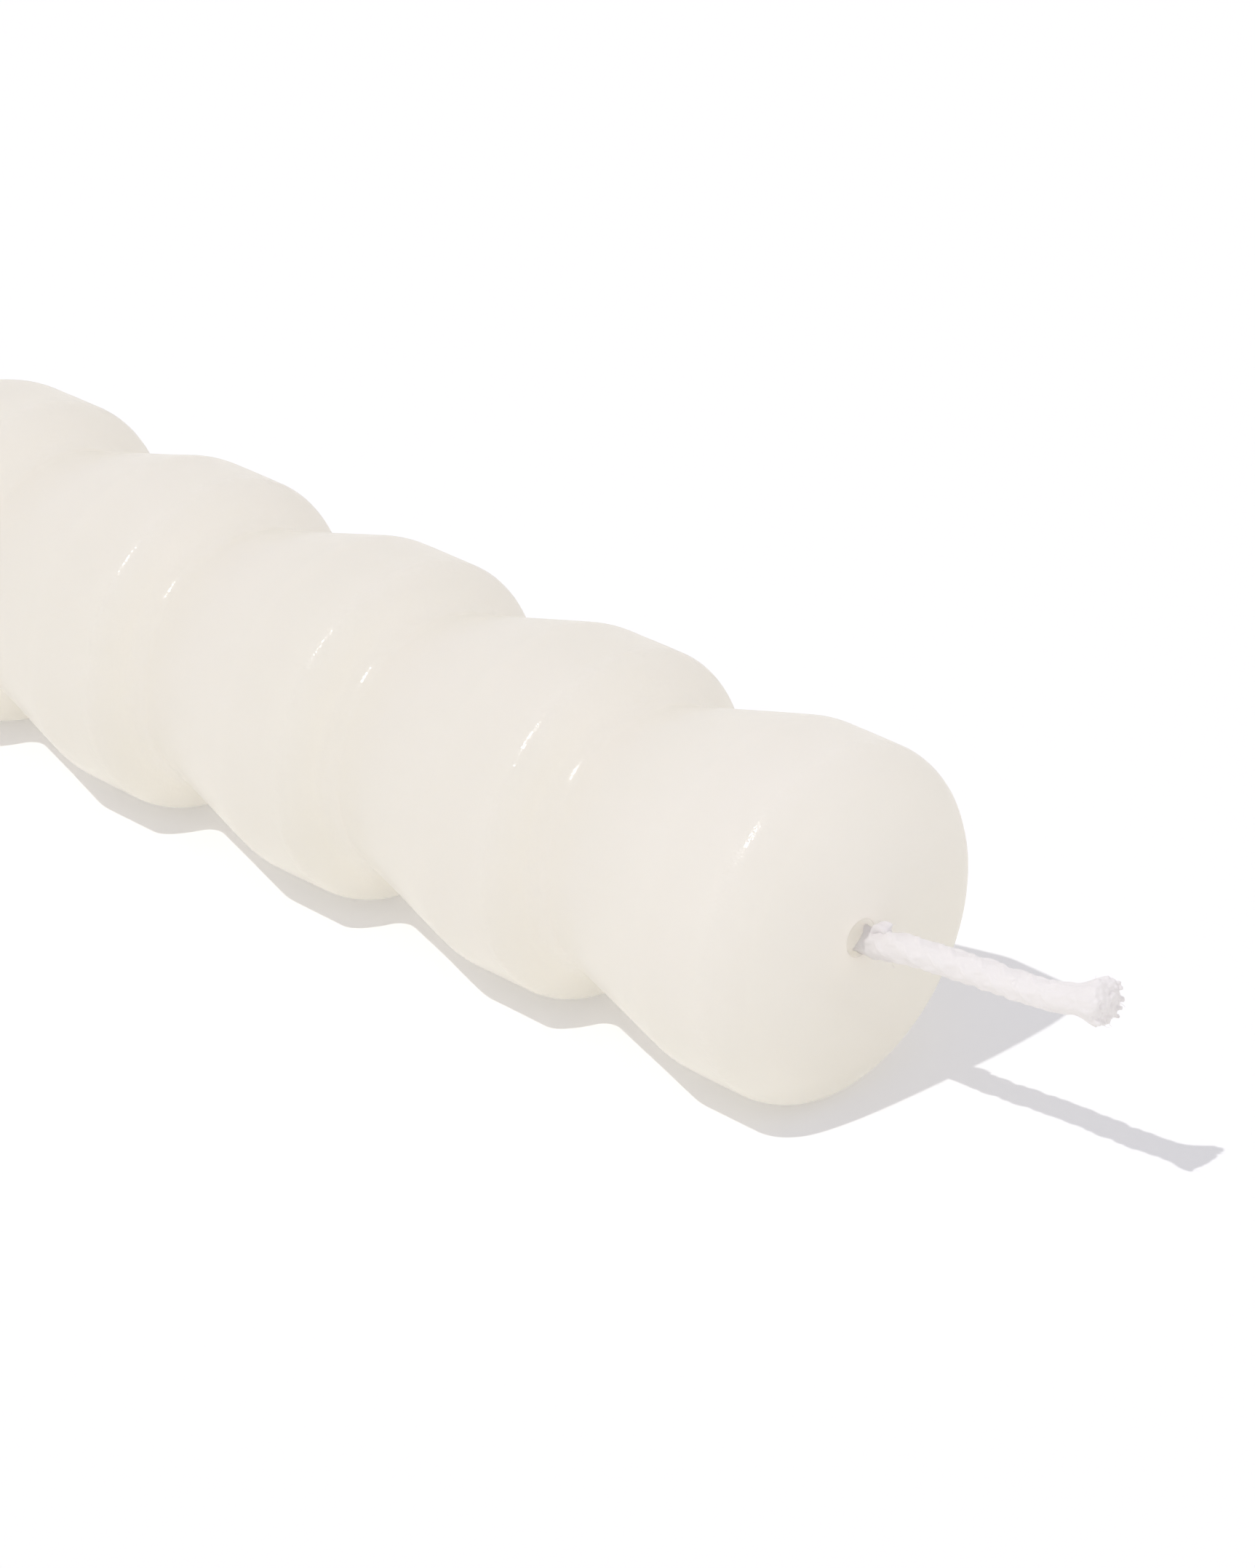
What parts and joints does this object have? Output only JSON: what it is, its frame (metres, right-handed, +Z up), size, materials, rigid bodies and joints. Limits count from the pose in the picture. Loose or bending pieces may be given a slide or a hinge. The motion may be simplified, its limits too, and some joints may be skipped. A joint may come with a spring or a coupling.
{
  "type": "taper candle",
  "caption": "Ivory wax taper candle moulded as a stack of flared rings, with a plain plug for a candlestick at one end and a bent, frayed cotton wick at the other.",
  "frame": {"origin": "centre of the footprint of the candle lying on its side, on the surface that it lies on", "axes": "+X along the candle towards the wick, +Z up, Y across the candle; the candle's own axis is 12 mm above the surface"},
  "size_m": [0.274, 0.024, 0.024],
  "materials": {
    "wax": "ivory candle wax, satin to glossy, slightly see-through",
    "cotton_wick": "braided white cotton, stiffened with wax, frayed at the cut end"
  },
  "bodies": {
    "root": {"wax_body": "wax", "wick": "cotton_wick"}
  },
  "joints": []
}
